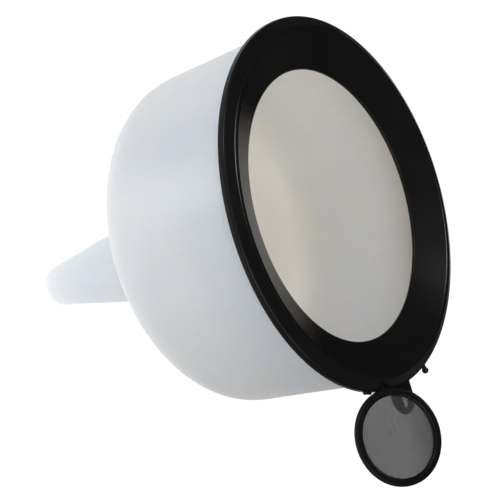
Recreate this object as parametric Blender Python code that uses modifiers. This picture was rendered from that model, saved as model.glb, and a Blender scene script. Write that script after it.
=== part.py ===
"""Wide-mouth workshop funnel: a one-piece bowl and spout, a push-on edge guard with a hanging
tab, and a gauze filter that hooks into the tab's eye.

Metres, +Z up.  The origin is on the funnel's axis at the open end of the spout, and the mouth
faces +Z.  The hanging tab points along +X.
"""
import math

import bmesh
import bpy
from mathutils import Matrix, Vector

# ---------------------------------------------------------------- driving dimensions (metres)
STEPS = 72                      # facets round the bowl and the guard
FILTER_STEPS = 56               # facets round the filter
GAP = 0.0003                    # running gap between touching pieces

CREST_Z = 0.2320                # spout end to the guard's flat crest
# bowl and spout
TIP_R = 0.0123                  # outer radius at the spout's open end
SPOUT_TAPER = 0.190             # radius gained per metre of height
WALL_R = 0.1117                 # outer wall radius just under the guard
WALL_TOP_Z = 0.2248             # height at which WALL_R is measured
WALL_TAPER = 0.085              # moulding draft of the bowl wall
SHOULDER_Z = 0.1437             # where the straight wall turns into the shoulder
SHOULDER_DEPTH = 0.0484         # height of the rounded shoulder
SHOULDER_POWER = 2.287          # superellipse exponent of the shoulder
BOWL_THICKNESS = 0.0020
LIP_R = 0.1144                  # outer radius of the lip that the guard clips over
# edge guard
GUARD_R = 0.1175
MOUTH_R = 0.0852                # radius of the opening inside the guard
GUARD_LIP_R = 0.0015            # rounding of the guard's inner edge
GUARD_LIP_DROP = 0.01055        # centre of that rounding below the crest
GUARD_THICKNESS = 0.0020
CREST_IN, CREST_OUT = 0.1078, 0.1104
# hanging tab
TAB_DROP = 0.0026               # front face of the tab below the crest
TAB_THICKNESS = 0.0022
TAB_END = (0.1232, -0.00106)    # centre of the tab's round end
TAB_END_R = 0.0116
TAB_SIDE_Y = 0.0098             # the tab's straight side
EYE_ARC = (0.1256, -0.0009)     # centre of the eye's curved side
EYE_R = 0.0054
EYE_SIDE_Y = -0.0036            # the eye's straight side
# gauze filter
FILTER_X, FILTER_Y, FILTER_LIFT = 0.1440, -0.0264, 0.0006
FILTER_TILT = (math.radians(23.7), math.radians(-6.0), 0.0)
FRAME_R = 0.0302
FRAME_BORE_R = 0.0253
FRAME_DEPTH = 0.0036
GAUZE_R = 0.0268
GAUZE_THICKNESS = 0.0006
SHANK_X = 0.1224                # the hook's shank inside the eye: the filter's pivot
HOOK_R = 0.0014


# ---------------------------------------------------------------- scene set-up
for old in list(bpy.data.objects):
    bpy.data.objects.remove(old, do_unlink=True)

funnel = bpy.data.collections.new("funnel")
bpy.context.scene.collection.children.link(funnel)


def material(name, colour, roughness, alpha=1.0):
    """A Principled material with the piece's own colour."""
    made = bpy.data.materials.new(name)
    made.use_nodes = True
    surface = made.node_tree.nodes["Principled BSDF"]
    surface.inputs["Base Color"].default_value = (*colour, 1.0)
    surface.inputs["Roughness"].default_value = roughness
    surface.inputs["Metallic"].default_value = 0.0
    surface.inputs["Alpha"].default_value = alpha
    return made


def add_object(name, mesh, finish):
    """Link a mesh into the funnel's collection as one named piece."""
    mesh.materials.clear()
    mesh.materials.append(finish)
    piece = bpy.data.objects.new(name, mesh)
    funnel.objects.link(piece)
    return piece


def turned(name, outline, finish, steps):
    """Turn a closed (radius, height) outline, listed down its outer side, about Z."""
    mesh = bpy.data.meshes.new(name)
    shape = bmesh.new()
    points = [shape.verts.new((radius, 0.0, height)) for radius, height in outline]
    for index, point in enumerate(points):
        shape.edges.new((point, points[(index + 1) % len(points)]))
    shape.to_mesh(mesh)
    shape.free()
    piece = add_object(name, mesh, finish)
    screw = piece.modifiers.new("turn", "SCREW")
    screw.axis = "Z"
    screw.steps = steps
    screw.render_steps = steps
    screw.use_merge_vertices = True
    screw.merge_threshold = 0.00001
    screw.use_smooth_shade = True
    return piece


def disc(name, radius, thickness, finish, steps):
    """A flat closed disc centred on its own origin."""
    mesh = bpy.data.meshes.new(name)
    shape = bmesh.new()
    bmesh.ops.create_cone(shape, cap_ends=True, segments=steps, radius1=radius, radius2=radius,
                          depth=thickness)
    shape.to_mesh(mesh)
    shape.free()
    return add_object(name, mesh, finish)


def curve_mesh(name, curve):
    """The closed mesh of a curve, with its caps welded on."""
    guide = bpy.data.objects.new(name, curve)
    funnel.objects.link(guide)
    bpy.context.view_layer.update()
    depsgraph = bpy.context.evaluated_depsgraph_get()
    mesh = bpy.data.meshes.new_from_object(guide.evaluated_get(depsgraph))
    shape = bmesh.new()
    shape.from_mesh(mesh)
    bmesh.ops.remove_doubles(shape, verts=shape.verts, dist=0.00001)
    bmesh.ops.recalc_face_normals(shape, faces=shape.faces)
    shape.to_mesh(mesh)
    shape.free()
    bpy.data.objects.remove(guide, do_unlink=True)
    mesh.name = name
    return mesh


def plate(name, loops, thickness):
    """A flat plate from closed outlines; the second and later loops are holes."""
    curve = bpy.data.curves.new(name, "CURVE")
    curve.dimensions = "2D"
    curve.fill_mode = "BOTH"
    curve.extrude = thickness / 2
    for loop in loops:
        spline = curve.splines.new("POLY")
        spline.points.add(len(loop) - 1)
        for point, (x, y) in zip(spline.points, loop):
            point.co = (x, y, 0.0, 1.0)
        spline.use_cyclic_u = True
    return curve_mesh(name, curve)


def rod(name, path, radius):
    """A round rod along a path, closed by flat caps."""
    curve = bpy.data.curves.new(name, "CURVE")
    curve.dimensions = "3D"
    curve.bevel_depth = radius
    curve.bevel_resolution = 2
    curve.use_fill_caps = True
    spline = curve.splines.new("POLY")
    spline.points.add(len(path) - 1)
    for point, place in zip(spline.points, path):
        point.co = (*place, 1.0)
    return curve_mesh(name, curve)


def ball_peg(name, foot, direction, length, neck_r, ball_r):
    """A short moulded peg with a ball end, growing from foot along direction."""
    along = Vector(direction).normalized()
    turn = Vector((0.0, 0.0, 1.0)).rotation_difference(along).to_matrix().to_4x4()
    neck = bpy.data.meshes.new(name + "_neck")
    shape = bmesh.new()
    bmesh.ops.create_cone(shape, cap_ends=True, segments=10, radius1=neck_r, radius2=neck_r * 0.85,
                          depth=length)
    bmesh.ops.transform(shape, matrix=turn, verts=shape.verts)
    bmesh.ops.translate(shape, vec=Vector(foot) + along * (length / 2), verts=shape.verts)
    shape.to_mesh(neck)
    shape.free()
    ball = bpy.data.meshes.new(name + "_ball")
    shape = bmesh.new()
    bmesh.ops.create_uvsphere(shape, u_segments=12, v_segments=8, radius=ball_r)
    bmesh.ops.transform(shape, matrix=turn, verts=shape.verts)
    bmesh.ops.translate(shape, vec=Vector(foot) + along * length, verts=shape.verts)
    shape.to_mesh(ball)
    shape.free()
    return [neck, ball]


def join_solid(piece, mesh):
    """Fuse one more closed mesh into a piece, so that the piece stays one body."""
    extra = bpy.data.objects.new("extra", mesh)
    funnel.objects.link(extra)
    extra.matrix_world = piece.matrix_world
    union = piece.modifiers.new("union", "BOOLEAN")
    union.operation = "UNION"
    union.solver = "EXACT"
    union.object = extra
    bpy.context.view_layer.update()
    depsgraph = bpy.context.evaluated_depsgraph_get()
    fused = bpy.data.meshes.new_from_object(piece.evaluated_get(depsgraph))
    piece.modifiers.clear()
    finish = piece.data.materials[0]
    piece.data = fused
    fused.materials.clear()
    fused.materials.append(finish)
    bpy.data.objects.remove(extra, do_unlink=True)


def smooth_round(piece, angle=35.0):
    """Smooth shading that keeps the crisp edges."""
    piece.data.shade_smooth()
    piece.data.set_sharp_from_angle(angle=math.radians(angle))


def arc(centre, radius, start, end, count):
    """Points on a circle, from the start angle to the end angle in degrees."""
    points = []
    for index in range(count):
        turn = math.radians(start + (end - start) * index / (count - 1))
        points.append((centre[0] + radius * math.cos(turn), centre[1] + radius * math.sin(turn)))
    return points


def offset_line(points, distance):
    """Shift an open outline sideways, to the right of its direction for a positive distance."""
    shifted = []
    for index, point in enumerate(points):
        before = points[max(index - 1, 0)]
        after = points[min(index + 1, len(points) - 1)]
        along = Vector((after[0] - before[0], after[1] - before[1])).normalized()
        shifted.append((point[0] + along.y * distance, point[1] - along.x * distance))
    return shifted


# ---------------------------------------------------------------- materials
MILKY = material("milky_polyethylene", (0.78, 0.80, 0.82), 0.42)
BLACK = material("black_guard_plastic", (0.012, 0.012, 0.013), 0.28)
FRAME_BLACK = material("black_frame_plastic", (0.012, 0.012, 0.013), 0.32)
RETAINER_BLACK = material("black_retainer_plastic", (0.014, 0.014, 0.015), 0.36)
WIRE = material("gauze_wire", (0.42, 0.41, 0.39), 0.45, 0.6)


# ---------------------------------------------------------------- bowl and spout
def wall_radius(height):
    """Outer radius of the drafted bowl wall at a height."""
    return WALL_R - WALL_TAPER * (WALL_TOP_Z - height)


def spout_radius(height):
    """Outer radius of the tapered spout at a height."""
    return TIP_R + SPOUT_TAPER * height


def bowl_outside():
    """The outer line of wall, rounded shoulder, fillet and spout, from under the lip down."""
    line = [(wall_radius(z), z) for z in (WALL_TOP_Z + 0.0002, 0.185, SHOULDER_Z + 0.002)]
    for index in range(1, 15):
        drop = math.sin(math.radians(90.0 * index / 15.0))
        height = SHOULDER_Z - SHOULDER_DEPTH * drop
        share = (1.0 - drop ** SHOULDER_POWER) ** (1.0 / SHOULDER_POWER)
        radius = wall_radius(height) * share
        if radius < spout_radius(height) + 0.006:
            break
        line.append((radius, height))
    base = SHOULDER_Z - SHOULDER_DEPTH + 0.0004
    line.append((spout_radius(base) + 0.0030, base))
    line.append((spout_radius(base) + 0.0008, base - 0.0010))
    line.append((spout_radius(base - 0.0035), base - 0.0035))
    line.append((spout_radius(0.045), 0.045))
    line.append((spout_radius(0.0008), 0.0008))
    return line


def bowl_outline():
    """Closed outline: lip, outer side down to the spout's end, inner side back up."""
    outside = bowl_outside()
    inside = offset_line(outside, BOWL_THICKNESS)
    top = CREST_Z - 0.0026
    lip = [
        (wall_radius(top) - BOWL_THICKNESS, top),
        (0.1107, top),
        (LIP_R - 0.0004, CREST_Z - 0.0047),
        (LIP_R, CREST_Z - 0.0051),
        (LIP_R, CREST_Z - 0.0060),
        (0.1122, CREST_Z - 0.0064),
    ]
    end = [(TIP_R - 0.0006, 0.0), (TIP_R - BOWL_THICKNESS + 0.0003, 0.0)]
    return lip + outside + end + list(reversed(inside))


bowl = turned("bowl_and_spout", bowl_outline(), MILKY, STEPS)


# ---------------------------------------------------------------- edge guard
def guard_outline():
    """Closed outline of the guard: crest, outer wall, groove for the bowl's lip, skirt, flange."""
    lip = (MOUTH_R + GUARD_LIP_R, CREST_Z - GUARD_LIP_DROP)
    slope = math.degrees(math.atan2(CREST_Z - lip[1] - GUARD_LIP_R, CREST_IN - lip[0]))
    crest = [
        (CREST_IN - 0.0012, CREST_Z - 0.0005),
        (CREST_IN, CREST_Z),
        (CREST_OUT, CREST_Z),
        (CREST_OUT + 0.0010, CREST_Z - 0.0004),
    ]
    outer = [
        (0.1161, CREST_Z - 0.0029),
        (0.1171, CREST_Z - 0.0036),
        (GUARD_R, CREST_Z - 0.0046),
        (GUARD_R, CREST_Z - 0.0071),
        (GUARD_R - 0.0006, CREST_Z - 0.0077),
        (0.1152, CREST_Z - 0.0077),
        (0.1148, CREST_Z - 0.0073),
    ]
    groove = [
        (0.1148, CREST_Z - 0.0050),
        (0.1146, CREST_Z - 0.0044),
        (0.1108, CREST_Z - 0.0022),
        (0.1093, CREST_Z - 0.0022),
    ]
    skirt = [
        (0.1092, CREST_Z - 0.0088),
        (0.1088, CREST_Z - 0.0093),
        (0.1078, CREST_Z - 0.0093),
        (0.1074, CREST_Z - 0.0088),
        (0.1074, CREST_Z - 0.0030),
    ]
    edge = arc(lip, GUARD_LIP_R, slope - 90.0, slope - 270.0, 9)
    return crest + outer + groove + skirt + edge


def tab_outline():
    """Plan of the tab: it grows from the guard, square on one side and filleted on the other."""
    root = GUARD_R - 0.0025
    line = arc((0.0, 0.0), root, 4.9, -12.4, 9)
    leave = Vector(arc((0.0, 0.0), root + 0.0002, -12.5, -12.5, 2)[0])
    bend = Vector((0.1150, -0.0137))
    meet = Vector(arc(TAB_END, TAB_END_R, -100.0, -100.0, 2)[0])
    for index in range(8):
        share = index / 8
        point = leave * (1 - share) ** 2 + bend * 2 * share * (1 - share) + meet * share ** 2
        line.append(point.to_tuple())
    straight = math.degrees(math.asin((TAB_SIDE_Y - TAB_END[1]) / TAB_END_R))
    return line + arc(TAB_END, TAB_END_R, -100.0, straight, 20)


def eye_outline():
    """The eye: round, with one straight side."""
    cut = math.degrees(math.asin((EYE_SIDE_Y - EYE_ARC[1]) / EYE_R))
    return arc(EYE_ARC, EYE_R, cut, 180.0 - cut, 20)


def tangent_peg(name, azimuth, length, radius, ball_r):
    """A peg that lies along the guard's wall, from azimuth round towards -Y."""
    turn = math.radians(azimuth)
    out = Vector((math.cos(turn), math.sin(turn), 0.0))
    along = Vector((math.sin(turn), -math.cos(turn), 0.0))
    foot = out * (GUARD_R + 0.0005) + Vector((0.0, 0.0, CREST_Z - 0.0060))
    return ball_peg(name, foot, along, length, radius, ball_r)


guard = turned("edge_guard", guard_outline(), BLACK, STEPS)
tab = plate("hanging_tab", [tab_outline(), eye_outline()], TAB_THICKNESS)
tab.transform(Matrix.Translation((0.0, 0.0, CREST_Z - TAB_DROP - TAB_THICKNESS / 2)))
join_solid(guard, tab)
turn = math.radians(17.3)
out = Vector((math.cos(turn), math.sin(turn), 0.0))
foot = out * (GUARD_R - 0.0006) + Vector((0.0, 0.0, CREST_Z - 0.0060))
for peg in (ball_peg("ball_peg", foot, out, 0.0034, 0.0010, 0.0015)
            + tangent_peg("side_peg", -16.0, 0.0050, 0.0011, 0.0014)):
    join_solid(guard, peg)
smooth_round(guard)


# ---------------------------------------------------------------- gauze filter
pivot = bpy.data.objects.new("filter_pivot", None)
pivot.empty_display_size = 0.01
pivot.location = (SHANK_X, 0.0, CREST_Z - TAB_DROP)
funnel.objects.link(pivot)


def place_on_filter(piece, lift):
    """Hang a piece on the filter's pivot, lift metres along the filter's own axis."""
    piece.parent = pivot
    piece.rotation_euler = FILTER_TILT
    centre = Vector((FILTER_X, FILTER_Y, CREST_Z + FILTER_LIFT)) - Vector(pivot.location)
    piece.location = centre + piece.rotation_euler.to_matrix() @ Vector((0.0, 0.0, lift))
    bpy.context.view_layer.update()


def frame_outline():
    """Closed outline of the frame: a full-depth wall with a lip in front of the gauze."""
    half = FRAME_DEPTH / 2
    return [
        (FRAME_BORE_R + 0.0006, half - 0.0003),
        (FRAME_BORE_R + 0.0012, half),
        (FRAME_R - 0.0009, half),
        (FRAME_R - 0.0002, half - 0.0003),
        (FRAME_R, half - 0.0010),
        (FRAME_R, 0.0010 - half),
        (FRAME_R - 0.0003, 0.0003 - half),
        (FRAME_R - 0.0008, -half),
        (FRAME_R - 0.0019, -half),
        (FRAME_R - 0.0019, 0.0003),
        (FRAME_BORE_R, 0.0003),
        (FRAME_BORE_R, half - 0.0012),
    ]


def retainer_outline():
    """Closed outline of the ring that holds the gauze against the frame's lip."""
    outer = FRAME_R - 0.0019 - GAP
    return [
        (FRAME_BORE_R + 0.0002, -0.0009),
        (outer, -0.0009),
        (outer, -0.0016),
        (outer - 0.0003, -0.0019),
        (FRAME_BORE_R + 0.0006, -0.0019),
        (FRAME_BORE_R + 0.0002, -0.0015),
    ]


def smooth_path(knots, share_count):
    """A Catmull-Rom path through the knots."""
    path = []
    for index in range(len(knots) - 1):
        a = knots[max(index - 1, 0)]
        b = knots[index]
        c = knots[index + 1]
        d = knots[min(index + 2, len(knots) - 1)]
        for step in range(share_count):
            t = step / share_count
            path.append(0.5 * (2 * b + (c - a) * t + (2 * a - 5 * b + 4 * c - d) * t ** 2
                               + (3 * b - a - 3 * c + d) * t ** 3))
    path.append(knots[-1])
    return path


frame = turned("filter_frame", frame_outline(), FRAME_BLACK, FILTER_STEPS)
place_on_filter(frame, 0.0)
arm_turn = math.radians(148.8)
arm_root = Vector((math.cos(arm_turn), math.sin(arm_turn), 0.0)) * (FRAME_R - 0.0001)
hook_knots = [
    frame.matrix_world @ (arm_root + Vector((0.0, 0.0, 0.0006))),
    frame.matrix_world @ (arm_root * 1.01 + Vector((0.0, 0.0, -0.0026))),
    Vector((SHANK_X - 0.0004, -0.0052, CREST_Z + 0.0012)),
    Vector((SHANK_X, -0.0013, CREST_Z - 0.0008)),
    Vector((SHANK_X, 0.0, CREST_Z - 0.0028)),
    Vector((SHANK_X, 0.0, CREST_Z - 0.0056)),
    Vector((SHANK_X - 0.0010, 0.0, CREST_Z - 0.0071)),
    Vector((SHANK_X - 0.0032, 0.0, CREST_Z - 0.0074)),
]
hook = rod("hook", smooth_path(hook_knots, 3), HOOK_R)
hook.transform(frame.matrix_world.inverted())
join_solid(frame, hook)
smooth_round(frame)

gauze = disc("filter_gauze", GAUZE_R, GAUZE_THICKNESS, WIRE, FILTER_STEPS)
place_on_filter(gauze, -GAUZE_THICKNESS / 2)

retainer = turned("filter_retainer", retainer_outline(), RETAINER_BLACK, FILTER_STEPS)
place_on_filter(retainer, 0.0)
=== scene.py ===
"""Wide-mouth workshop funnel: milky bowl, black push-on edge guard and a gauze filter hooked
to the guard's hanging tab.  Everything is in metres, in the part's own frame: +Z out of the
mouth, +X towards the tab."""

import math

import bmesh
import bpy
from mathutils import Euler, Matrix, Vector


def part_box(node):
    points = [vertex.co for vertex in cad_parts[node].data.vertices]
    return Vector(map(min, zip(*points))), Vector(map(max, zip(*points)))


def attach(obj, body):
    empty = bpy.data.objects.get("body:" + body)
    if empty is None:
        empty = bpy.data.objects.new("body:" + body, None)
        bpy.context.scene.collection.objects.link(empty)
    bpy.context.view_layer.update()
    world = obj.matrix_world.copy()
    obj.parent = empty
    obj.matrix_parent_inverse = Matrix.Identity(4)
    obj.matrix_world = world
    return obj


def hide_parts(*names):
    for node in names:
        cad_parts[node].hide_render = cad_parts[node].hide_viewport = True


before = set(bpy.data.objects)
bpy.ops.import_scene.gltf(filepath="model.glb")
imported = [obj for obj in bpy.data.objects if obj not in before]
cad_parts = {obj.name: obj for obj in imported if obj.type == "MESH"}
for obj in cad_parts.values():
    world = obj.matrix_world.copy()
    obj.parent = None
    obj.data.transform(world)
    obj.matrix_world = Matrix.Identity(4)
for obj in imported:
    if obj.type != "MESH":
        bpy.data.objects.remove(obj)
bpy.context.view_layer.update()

# ---------------------------------------------------------------- sizes shared by the pieces
MM = 0.001
TURNS = 192                                   # facets round the bowl and the guard
FILTER_TURNS = 144                            # facets round the filter
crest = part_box("edge_guard")[1].z             # the guard's flat crest
guard_r = -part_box("edge_guard")[0].x          # outside of the guard
filter_centre = Vector((144.0 * MM, -26.4 * MM, crest + 0.6 * MM))
filter_tilt = Euler((math.radians(23.7), math.radians(-6.0), 0.0))
filter_place = Matrix.Translation(filter_centre) @ filter_tilt.to_matrix().to_4x4()


# ---------------------------------------------------------------- shader helper
class Socket:
    """A shader socket that Python's own operators work on, each adding one Math node."""

    def __init__(self, tree, socket=None):
        self.tree, self.socket = tree, socket

    def node(self, kind, settings=None, sockets=None, out=0):
        """Add one node: its settings first, then its sockets' values or links."""
        made = self.tree.nodes.new("ShaderNode" + kind)
        for key, value in (settings or {}).items():
            setattr(made, key, value)
        for key, value in (sockets or {}).items():
            if isinstance(value, Socket):
                self.tree.links.new(value.socket, made.inputs[key])
            else:
                made.inputs[key].default_value = value
        return Socket(self.tree, made.outputs[out])

    def maths(self, operation, left, right=0.0):
        return self.node("Math", {"operation": operation}, {0: left, 1: right})

    def __add__(self, other):
        return self.maths("ADD", self, other)

    def __sub__(self, other):
        return self.maths("SUBTRACT", self, other)

    def __rsub__(self, other):
        return self.maths("SUBTRACT", other, self)

    def __mul__(self, other):
        return self.maths("MULTIPLY", self, other)

    def __pow__(self, other):
        return self.maths("POWER", self, other)

    __radd__ = __add__

    def clipped(self, low, high):
        """This value moved from low..high to 0..1."""
        return self.node("MapRange", {"clamp": True}, {0: self, 1: low, 2: high})

    def blend(self, first, second):
        """The first colour where this value is 0, the second where it is 1."""
        return self.node("Mix", {"data_type": "RGBA"}, {0: self, 6: first, 7: second}, out=2)


def new_material(name):
    """An empty material: its tree as a Socket and its Principled shader."""
    made = bpy.data.materials.new(name)
    made.use_nodes = True
    tree = made.node_tree
    shader = tree.nodes["Principled BSDF"]
    return made, Socket(tree), shader


def join(tree, value, shader, socket):
    tree.links.new(value.socket, shader.inputs[socket])


def noise(sheet, where, scale, detail=2.0, rough=0.5):
    return sheet.node("TexNoise", None, {"Vector": where, "Scale": scale, "Detail": detail,
                                         "Roughness": rough})


def stretched(sheet, where, factors):
    """Object coordinates scaled along each axis, so that a pattern runs one way."""
    return sheet.node("Mapping", None, {"Vector": where, "Scale": factors})


# ---------------------------------------------------------------- finishes
def milky_plastic():
    """Natural blow-moulded polyethylene: cloudy, satin, a little uneven in thickness."""
    made, sheet, shader = new_material("milky_polyethylene")
    where = sheet.node("TexCoord", out=3)
    cloud = noise(sheet, where, 14.0, 3.0)
    flow = noise(sheet, stretched(sheet, where, (60.0, 60.0, 7.0)), 1.0, 2.0)
    tone = (cloud * 0.6 + flow * 0.4).clipped(0.35, 0.65)
    join(sheet.tree, tone.blend((0.814, 0.812, 0.806, 1), (0.838, 0.836, 0.830, 1)), shader,
         "Base Color")
    scuff = noise(sheet, where, 260.0, 4.0, 0.7)
    join(sheet.tree, 0.22 + scuff * 0.10 + cloud * 0.05, shader, "Roughness")
    skin = noise(sheet, where, 1500.0, 2.0) * 0.35 + scuff * 0.4 + cloud * 0.6
    bump = sheet.node("Bump", None, {"Strength": 0.10, "Distance": 0.0004, "Height": skin})
    join(sheet.tree, bump, shader, "Normal")
    shader.inputs["Subsurface Weight"].default_value = 1.0
    shader.inputs["Subsurface Radius"].default_value = (1.0, 0.78, 0.50)
    shader.inputs["Subsurface Scale"].default_value = 0.0090
    shader.inputs["IOR"].default_value = 1.50
    return made


def black_plastic(name, deep, pale, rough, gloss):
    """Black moulded plastic with a soft gloss, faint cloudiness and fine rubbing marks."""
    made, sheet, shader = new_material(name)
    where = sheet.node("TexCoord", out=3)
    cloud = noise(sheet, where, 38.0, 3.0)
    rub = noise(sheet, where, 420.0, 3.0, 0.65)
    join(sheet.tree, cloud.clipped(0.3, 0.7).blend((*deep, 1), (*pale, 1)), shader, "Base Color")
    join(sheet.tree, rough + cloud * 0.05 + rub * 0.07, shader, "Roughness")
    skin = rub * 0.5 + noise(sheet, where, 2200.0, 1.0) * 0.3 + cloud * 0.8
    bump = sheet.node("Bump", None, {"Strength": 0.06, "Distance": 0.0004, "Height": skin})
    join(sheet.tree, bump, shader, "Normal")
    shader.inputs["IOR"].default_value = 1.49
    shader.inputs["Specular IOR Level"].default_value = gloss
    return made


def gauze_wire():
    """Fine wire dulled by fuel: dark, half metallic, streaked, with painted shade darkening it
    along one side.
    """
    made, sheet, shader = new_material("gauze_wire")
    where = sheet.node("TexCoord", out=3)
    streaks = noise(sheet, stretched(sheet, where, (25.0, 650.0, 25.0)), 1.0, 2.0)
    cloud = noise(sheet, where, 60.0, 2.0)
    tone = (streaks * 0.75 + cloud * 0.25).clipped(0.35, 0.65)
    unshaded_tone = tone.blend((0.044, 0.043, 0.042, 1), (0.090, 0.088, 0.085, 1))
    # painted shade: the wire colour turns much darker across a narrow band and stays dark beyond
    # it, on one side of the gauze
    across = sheet.node("VectorMath", {"operation": "DOT_PRODUCT"},
                        {0: where, 1: (0.304, 0.530, 0.792)}, out=1)
    painted_shade = (across + cloud * 0.006).clipped(0.2330, 0.2450)
    join(sheet.tree, painted_shade.blend(unshaded_tone, (0.014, 0.013, 0.012, 1)), shader, "Base Color")
    join(sheet.tree, 0.38 + cloud * 0.15, shader, "Roughness")
    bump = sheet.node("Bump", None, {"Strength": 0.15, "Distance": 0.0001,
                                     "Height": noise(sheet, where, 3000.0)})
    join(sheet.tree, bump, shader, "Normal")
    shader.inputs["Metallic"].default_value = 0.35
    return made


MILKY = milky_plastic()
BLACK = black_plastic("black_guard_plastic", (0.0062, 0.0062, 0.0062), (0.0080, 0.0079, 0.0078),
                      0.08, 0.17)
FRAME_BLACK = black_plastic("black_frame_plastic", (0.0035, 0.0035, 0.0037),
                            (0.0050, 0.0050, 0.0052), 0.18, 0.15)
RETAINER_BLACK = black_plastic("black_retainer_plastic", (0.0065, 0.0065, 0.0065),
                               (0.0095, 0.0094, 0.0092), 0.28, 0.20)
WIRE = gauze_wire()


# ---------------------------------------------------------------- mesh helpers
def finished(name, mesh, finish, body, slot, *nodes, sharp=32.0):
    """Make a piece of a mesh: its finish, smooth shading, body and CAD nodes. The slot is not
    used.
    """
    mesh.materials.clear()
    mesh.materials.append(finish)
    mesh.shade_smooth()
    mesh.set_sharp_from_angle(angle=math.radians(sharp))
    piece = bpy.data.objects.new(name, mesh)
    bpy.context.scene.collection.objects.link(piece)
    even = piece.modifiers.new("even_shading", "WEIGHTED_NORMAL")
    even.keep_sharp = True
    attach(piece, body)
    if nodes:
        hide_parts(*nodes)
    return piece


def to_mesh(shape, name, place=None):
    """Turn a bmesh into a mesh, set in its place."""
    if place is not None:
        bmesh.ops.transform(shape, matrix=place, verts=shape.verts)
    mesh = bpy.data.meshes.new(name)
    shape.to_mesh(mesh)
    shape.free()
    return mesh


def turned(outline, turns, segments=4):
    """Spin a closed outline of (radius, height, rounding) in millimetres about Z.
    The rounding is how far from the corner its arc starts, and 0 leaves a crisp corner."""
    shape = bmesh.new()
    points = [shape.verts.new((r * MM, 0.0, z * MM)) for r, z, _ in outline]
    for index, point in enumerate(points):
        shape.edges.new((point, points[(index + 1) % len(points)]))
    for point, (_, _, rounding) in zip(points, outline):
        if rounding:
            bmesh.ops.bevel(shape, geom=[point], offset=rounding * MM, offset_type="OFFSET",
                            segments=segments, profile=0.5, affect="VERTICES", material=-1)
    bmesh.ops.spin(shape, geom=shape.verts[:] + shape.edges[:], cent=(0, 0, 0), axis=(0, 0, 1),
                   dvec=(0, 0, 0), angle=2 * math.pi, steps=turns, use_merge=True)
    bmesh.ops.remove_doubles(shape, verts=shape.verts, dist=1e-7)
    bmesh.ops.recalc_face_normals(shape, faces=shape.faces)
    return shape


def curve_mesh(name, curve):
    """The closed mesh of a curve, with its caps welded on and its faces outwards."""
    guide = bpy.data.objects.new(name, curve)
    bpy.context.scene.collection.objects.link(guide)
    bpy.context.view_layer.update()
    mesh = bpy.data.meshes.new_from_object(
        guide.evaluated_get(bpy.context.evaluated_depsgraph_get()))
    bpy.data.objects.remove(guide)
    bpy.data.curves.remove(curve)
    shape = bmesh.new()
    shape.from_mesh(mesh)
    bpy.data.meshes.remove(mesh)
    bmesh.ops.remove_doubles(shape, verts=shape.verts, dist=1e-7)
    bmesh.ops.recalc_face_normals(shape, faces=shape.faces)
    return shape


def new_curve(name, lines, thickness, fineness, flat=False, ring=False):
    """A curve of straight-sided lines, each a list of points in metres."""
    curve = bpy.data.curves.new(name, "CURVE")
    curve.dimensions = "2D" if flat else "3D"
    curve.bevel_depth = thickness
    curve.bevel_resolution = fineness
    curve.use_fill_caps = not flat
    for line in lines:
        spline = curve.splines.new("POLY")
        spline.points.add(len(line) - 1)
        for point, place in zip(spline.points, line):
            point.co = (*place, 1.0) if len(place) == 3 else (*place, 0.0, 1.0)
        spline.use_cyclic_u = ring
    return curve


def arc(centre_x, centre_y, radius, start, end, count):
    """Points on a flat arc, from one angle to another in degrees."""
    turns = [math.radians(start + (end - start) * i / (count - 1)) for i in range(count)]
    return [(centre_x + radius * math.cos(t), centre_y + radius * math.sin(t)) for t in turns]


def smooth_path(knots, share_count):
    """A Catmull-Rom path through the knots."""
    path = []
    for index in range(len(knots) - 1):
        a, b = knots[max(index - 1, 0)], knots[index]
        c, d = knots[index + 1], knots[min(index + 2, len(knots) - 1)]
        for step in range(share_count):
            t = step / share_count
            path.append(0.5 * (2 * b + (c - a) * t + (2 * a - 5 * b + 4 * c - d) * t ** 2
                               + (3 * b - a - 3 * c + d) * t ** 3))
    return path + [knots[-1]]


# ---------------------------------------------------------------- bowl and spout
# All of these are in millimetres, except the two slopes and the roundness.
WALL = 2.0                                    # wall thickness
WALL_TOP, WALL_R, DRAFT = 224.8, 111.7, 0.085  # wall at its top, and its slope inwards
SPOUT_R, TAPER = 12.3, 0.19                   # spout at its open end, and its slope outwards
SHOULDER_TOP, SHOULDER_DEEP = 143.7, 48.4     # where the wall starts to curve, and how far down
ROUNDNESS = 2.287                             # 2 would be an ellipse; more is squarer
FLOOR_Z = 95.6                                # underside of the floor beside the spout
ROOT_STEP, ROOT_FILLET = 6.5, 4.0             # floor left flat round the spout, and its fillet
SHOULDER_STEPS = 22
LIP_TOP = 229.4                               # top of the lip that the guard clips over


def wall_radius(height):
    """Outside of the drafted bowl wall."""
    return WALL_R - DRAFT * (WALL_TOP - height)


def spout_radius(height):
    """Outside of the tapered spout."""
    return SPOUT_R + TAPER * height


def bowl_side(wall):
    """The line of one face of the shell, from under the lip down to the spout's end."""
    line = [(wall_radius(z) - wall, z, 0) for z in (225.0, 205.0, 185.0, 165.0, 150.0)]
    for index in range(SHOULDER_STEPS):
        drop = math.sin(math.radians(90.0 * index / SHOULDER_STEPS))
        height = SHOULDER_TOP - SHOULDER_DEEP * drop
        left = 1.0 - drop ** ROUNDNESS
        radius = wall_radius(height) * left ** (1.0 / ROUNDNESS)
        if radius < spout_radius(height) + ROOT_STEP + 0.5:
            break
        slope = DRAFT
        if drop:
            slope = (drop / max(left, 1e-6) ** (1.0 / ROUNDNESS)) ** (ROUNDNESS - 1.0)
            slope *= wall_radius(height) / SHOULDER_DEEP
        lean = math.hypot(1.0, slope)
        line.append((radius - wall / lean, height + wall * slope / lean, 0))
    base = FLOOR_Z + wall
    line.append((spout_radius(base) - wall + ROOT_STEP, base, 0))
    line.append((spout_radius(base) - wall, base, ROOT_FILLET))
    line += [(spout_radius(z) - wall, z, 0) for z in (60.0, 25.0)]
    return line


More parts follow.
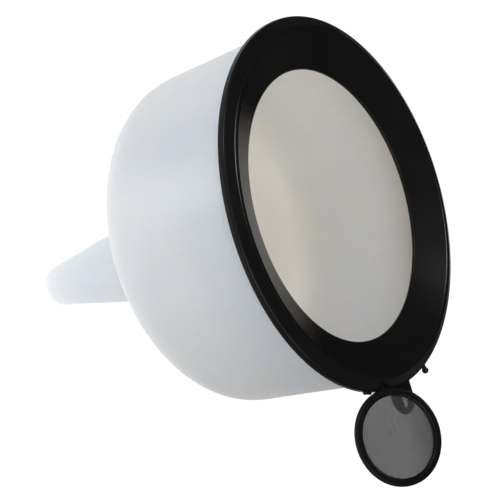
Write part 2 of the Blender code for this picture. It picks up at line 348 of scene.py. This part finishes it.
lip = [(wall_radius(LIP_TOP) - WALL, LIP_TOP, 0.5), (110.7, LIP_TOP, 0.5),
       (114.2, 227.2, 0.5), (114.4, 225.8, 0.3), (112.2, 225.6, 0.3)]
spout_end = [(SPOUT_R, 0.0, 0.7), (10.5, 0.0, 0.5)]
shape = turned(lip + bowl_side(0.0) + spout_end + bowl_side(WALL)[::-1], TURNS)
finished("bowl_shell", to_mesh(shape, "bowl_shell"), MILKY, "bowl", "milky_plastic",
         "bowl_and_spout")


# ---------------------------------------------------------------- edge guard
MOUTH_R, MOUTH_DROP, MOUTH_ROUND = 86.7, 10.55, 1.5   # the flange's rounded inner edge
CREST_R = 107.8                               # inner side of the flat crest


def below(drop):
    """A height in millimetres, given as a drop below the crest."""
    return crest / MM - drop


def guard_outline():
    """Crest, outer band, outer wall, the groove over the bowl's lip, and the sloped flange."""
    slope = math.atan2(MOUTH_DROP - MOUTH_ROUND, CREST_R - MOUTH_R)
    turns = [slope - math.radians(90 + 180 * i / 12) for i in range(13)]
    tip = [(MOUTH_R + MOUTH_ROUND * math.cos(turn),
            below(MOUTH_DROP) + MOUTH_ROUND * math.sin(turn), 0) for turn in turns]
    return [
        (106.4, below(0.62), 0), (CREST_R, below(0.0), 0.6), (110.4, below(0.0), 0.7),
        (116.1, below(2.9), 0.7), (117.5, below(4.0), 0.9), (117.5, below(7.7), 0.7),
        (114.8, below(7.7), 0.4), (114.8, below(4.6), 0.3), (110.8, below(2.2), 0.4),
        (109.2, below(2.2), 0.2), (109.2, below(9.3), 0.4), (107.4, below(9.3), 0.5),
        (107.4, below(3.0), 0.5),
    ] + tip


shape = turned(guard_outline(), TURNS)
finished("guard_ring", to_mesh(shape, "guard_ring"), BLACK, "guard", "black_guard",
         "edge_guard")


TAB_END, TAB_END_R = (123.2 * MM, -1.06 * MM), 11.6 * MM    # the tab's round end
TAB_SIDE = 9.8 * MM                           # its straight side
TAB_DROP = 3.7 * MM                           # its middle below the crest
TAB_HALF, TAB_ROUND = 0.75 * MM, 0.35 * MM    # half its flat thickness, and its rounded edge
FILLET_START, FILLET_MEETS = -12.5, -100.0    # degrees round the guard, and round the end
FILLET_BEND = (115.0 * MM, -13.7 * MM)
EYE_ARC, EYE_R, EYE_SIDE = (125.6 * MM, -0.9 * MM), 5.4 * MM, -3.6 * MM


def tab_outline():
    """Plan of the tab: it grows from the guard, square on one side and filleted on the other."""
    root = guard_r - 2.8 * MM
    line = arc(0.0, 0.0, root, 4.9, -12.4, 16)
    leave = Vector(arc(0.0, 0.0, root + 0.5 * MM, FILLET_START, FILLET_START, 2)[0])
    bend = Vector(FILLET_BEND)
    meet = Vector(arc(*TAB_END, TAB_END_R, FILLET_MEETS, FILLET_MEETS, 2)[0])
    for index in range(16):
        t = index / 16
        line.append((leave * (1 - t) ** 2 + bend * 2 * t * (1 - t) + meet * t ** 2).to_tuple())
    straight = math.degrees(math.asin((TAB_SIDE - TAB_END[1]) / TAB_END_R))
    return line + arc(*TAB_END, TAB_END_R, FILLET_MEETS, straight, 40)


def eye_outline():
    """The eye: round, with one straight side."""
    cut = math.degrees(math.asin((EYE_SIDE - EYE_ARC[1]) / EYE_R))
    return arc(*EYE_ARC, EYE_R, cut + 4.0, 176.0 - cut, 44) + [
        (121.2 * MM, EYE_SIDE), (130.0 * MM, EYE_SIDE)]


plate = new_curve("hanging_tab", [tab_outline(), eye_outline()], TAB_ROUND, 2, flat=True,
                  ring=True)
plate.fill_mode = "BOTH"
plate.extrude = TAB_HALF
plate.offset = -TAB_ROUND
shape = curve_mesh("hanging_tab", plate)
finished("hanging_tab", to_mesh(shape, "hanging_tab",
                                Matrix.Translation((0, 0, crest - TAB_DROP))),
         BLACK, "guard", "black_guard")

PEG_DROP = 6.0 * MM                           # the pegs' axes below the crest
# Name, azimuth, start outside the guard's wall, turn from pointing straight out, length,
# radius at the root and radius of the ball; the angles in degrees, the rest in millimetres.
PEGS = (
    ("peg_long", 17.3, -0.6, 0.0, 4.3, 1.6, 2.1),
    ("peg_side", -15.3, 0.3, -90.0, 5.6, 1.15, 1.3),
)
for name, azimuth, inset, lean, reach, thick, ball in PEGS:
    shape = bmesh.new()
    bmesh.ops.create_cone(shape, cap_ends=True, segments=24, radius1=thick * MM,
                          radius2=thick * 0.85 * MM, depth=reach * MM,
                          matrix=Matrix.Translation((0, 0, reach / 2 * MM)))
    bmesh.ops.create_uvsphere(shape, u_segments=24, v_segments=14, radius=ball * MM,
                              matrix=Matrix.Translation((0, 0, reach * MM)))
    place = Matrix.Rotation(math.radians(azimuth), 4, "Z")
    place = place @ Matrix.Translation((guard_r + inset * MM, 0, crest - PEG_DROP))
    place = place @ Matrix.Rotation(math.radians(lean), 4, "Z")
    place = place @ Matrix.Rotation(math.radians(90), 4, "Y")
    finished(name, to_mesh(shape, name, place), BLACK, "guard", "black_guard")

# ---------------------------------------------------------------- gauze filter
# Outlines of (radius, height, rounding) in millimetres, in the filter's own frame.
FRAME = [(25.3, 0.3, 0.2), (25.3, 1.1, 0.3), (26.2, 1.8, 0.4), (29.3, 1.8, 0.5),
         (30.2, 1.0, 0.5), (30.2, -1.0, 0.3), (29.5, -1.8, 0.4), (28.3, -1.8, 0.2),
         (28.3, 0.3, 0.1)]
shape = turned(FRAME, FILTER_TURNS)
finished("filter_frame_ring", to_mesh(shape, "filter_frame_ring", filter_place), FRAME_BLACK,
         "filter", "black_frame", "filter_frame")

HOOK_R = 1.4 * MM                             # radius of the hook's rod
HOOK_TURN, HOOK_ROOT_R = math.radians(148.8), 29.9 * MM     # where it leaves the frame
arm_root = Vector((math.cos(HOOK_TURN), math.sin(HOOK_TURN), 0.0)) * HOOK_ROOT_R
knots = [filter_place @ (arm_root + Vector((0, 0, 0.6 * MM))),
         filter_place @ (arm_root * 1.01 - Vector((0, 0, 2.6 * MM)))]
knots += [Vector((x * MM, y * MM, crest + z * MM)) for x, y, z in (
    (122.0, -5.2, 1.2), (122.4, -1.3, -0.8), (122.4, 0.0, -2.8), (122.4, 0.0, -5.6),
    (121.4, 0.0, -7.1), (119.2, 0.0, -7.4))]
shape = curve_mesh("filter_hook", new_curve("filter_hook", [smooth_path(knots, 8)], HOOK_R, 4))
finished("filter_hook", to_mesh(shape, "filter_hook"), FRAME_BLACK, "filter", "black_frame")

RETAINER = [(25.5, -0.9, 0), (28.0, -0.9, 0), (28.0, -1.9, 0.3), (25.5, -1.9, 0.4)]
shape = turned(RETAINER, FILTER_TURNS)
finished("filter_retainer_ring", to_mesh(shape, "filter_retainer_ring", filter_place),
         RETAINER_BLACK, "filter", "black_retainer", "filter_retainer")

PITCH, WIRE_R, WEAVE_R = 0.50, 0.174, 26.8    # millimetres
WEAVE_Z = -0.30                               # the weave's middle in the frame, millimetres
CLOG = 0.12                                   # how much thicker the most clogged wires are
wires, swells = [], []
count = int(WEAVE_R / PITCH)
for across in range(2):
    for lane in range(-count, count + 1):
        offset = lane * PITCH
        reach = int(math.sqrt(max(WEAVE_R ** 2 - offset ** 2, 0.0)) / PITCH)
        if reach < 1:
            continue
        line = []
        for step in range(-reach, reach + 1):
            lift = WIRE_R * 0.55 * (1 if (lane + step + across) % 2 else -1) + WEAVE_Z
            along, side = step * PITCH, offset
            line.append(Vector((along, side, lift) if across else (side, along, lift)) * MM)
        wires.append(line)
        uneven = 0.030 * math.sin(lane * 2.4) + 0.025 * math.sin(lane * 0.9 + 1.0)
        swells.append(1.0 + (uneven if across else 0.3 * uneven))
weave = new_curve("filter_gauze_weave", wires, WIRE_R * MM, 0)
for spline, swell in zip(weave.splines, swells):
    for point in spline.points:               # the weave clogs towards two of its sides
        clog = max(point.co.y / MM + 0.30 * point.co.x / MM - 7.0, 0.0) / 16.0
        clog += 0.4 * max(-point.co.y / MM - 15.0, 0.0) / 12.0
        point.radius = swell * (1.0 + CLOG * min(clog, 1.0))
shape = curve_mesh("filter_gauze_weave", weave)
gauze_mesh = to_mesh(shape, "filter_gauze_weave", filter_place)
finished("filter_gauze_weave", gauze_mesh, WIRE, "filter", "gauze_wire", "filter_gauze",
         sharp=180.0)


# ---------------------------------------------------------------- stage, lights and camera
# Pools of light on the floor: centre x and y, reach, strength.  Two are darker patches, which
# shape the satin sheen on the bowl.
FLOOR_GLOW = (
    (0.0, 0.0, 0.25, 0.71), (0.0, -0.5, 0.35, 1.05), (0.0, 0.5, 0.35, 1.04),
    (-0.5, 0.0, 0.35, 0.64), (-1.6, 0.0, 0.8, 1.43), (-1.1, -1.1, 0.7, 2.0),
    (-0.17, -0.26, 0.07, 1.7), (-0.275, -0.14, 0.08, -0.85), (-0.02, -0.33, 0.08, -0.9),
)


def floor_material():
    """Plain pale floor, evenly white to look at, that glows with painted pools of light and
    darker patches for every ray but the camera's.
    """
    made, sheet, shader = new_material("pale_floor")
    where = sheet.node("TexCoord", out=3)
    cloud = noise(sheet, where, 3.0, 2.0)
    join(sheet.tree, cloud.blend((0.10, 0.10, 0.10, 1), (0.12, 0.12, 0.12, 1)), shader,
         "Base Color")
    shader.inputs["Roughness"].default_value = 0.9
    shader.inputs["Specular IOR Level"].default_value = 0.0
    glow_pools = None
    for x, y, reach, strength in FLOOR_GLOW:
        away = sheet.node("VectorMath", {"operation": "DISTANCE"},
                          {0: where, 1: (x, y, 0.0)}, out=1) * (1 / reach)
        pool = away.maths("EXPONENT", away * away * -1.0) * strength
        glow_pools = pool if glow_pools is None else glow_pools + pool
    seen = sheet.node("LightPath")
    # painted light: the floor's emission is plain white to the camera and the glowing pools to
    # all other rays
    join(sheet.tree, seen + glow_pools * (1 - seen), shader, "Emission Strength")
    shader.inputs["Emission Color"].default_value = (1, 1, 1, 1)
    return made


shape = bmesh.new()
bmesh.ops.create_grid(shape, x_segments=8, y_segments=8, size=8.0)
floor_mesh = to_mesh(shape, "floor", Matrix.Translation((0, 0, -0.0005)))
floor_mesh.materials.append(floor_material())
floor = bpy.data.objects.new("floor", floor_mesh)
bpy.context.scene.collection.objects.link(floor)

# Soft boxes round the set: azimuth from +Y towards +X, elevation, narrowness, strength.  The
# last two are small and bright, for the thin highlights on the guard.
SOFT_BOXES = (
    (36, 8, 22, 0.16), (252, 8, 22, 0.35), (288, 8, 22, 0.09), (324, 8, 22, 0.11),
    (65, 34, 16, 0.13), (110, 34, 16, 1.29), (155, 34, 16, 2.55), (200, 34, 16, 0.83),
    (245, 34, 16, 1.68), (290, 34, 16, 0.07), (0, 60, 14, 0.20), (144, 60, 14, 0.13),
    (216, 60, 14, 0.50), (288, 60, 14, 0.06), (343, 59, 300, 26.0), (241, 39, 250, 7.0),
)


def studio_world():
    """A dim studio with broad soft lights; the camera itself sees only the pale backdrop."""
    made = bpy.data.worlds.new("studio")
    made.use_nodes = True
    tree = made.node_tree
    sheet = Socket(tree)
    towards = sheet.node("TexCoord")
    total = None
    for azimuth, elevation, narrow, strength in SOFT_BOXES:
        turn, rise = math.radians(azimuth), math.radians(elevation)
        centre = (math.cos(rise) * math.sin(turn), math.cos(rise) * math.cos(turn),
                  math.sin(rise))
        facing = sheet.node("VectorMath", {"operation": "DOT_PRODUCT"},
                            {0: towards, 1: centre}, out=1)
        box = facing.maths("MAXIMUM", facing, 0.0) ** narrow * strength
        total = box if total is None else total + box
    seen = sheet.node("LightPath")
    strength = total * (1 - seen) + seen
    background = tree.nodes["Background"]
    background.inputs["Color"].default_value = (1, 1, 1, 1)
    tree.links.new(strength.socket, background.inputs["Strength"])
    return made


bpy.context.scene.world = studio_world()

scene = bpy.context.scene
scene.view_settings.view_transform = "Standard"
CAMERA_AT = Vector((-0.05616, -1.53546, 1.20827))
CAMERA_FORWARD = Vector((0.03668, 0.82355, -0.56605))
CAMERA_UP = Vector((-0.95207, 0.20092, 0.23064))
camera_data = bpy.data.cameras.new("camera")
camera_data.sensor_width = 36.0
camera_data.lens = 216.0
camera_data.clip_end = 60.0
camera = bpy.data.objects.new("camera", camera_data)
scene.collection.objects.link(camera)
forward = CAMERA_FORWARD.normalized()
right = forward.cross(CAMERA_UP).normalized()
axes = Matrix((right, right.cross(forward), -forward)).transposed().to_4x4()
camera.matrix_world = Matrix.Translation(CAMERA_AT) @ axes
scene.camera = camera
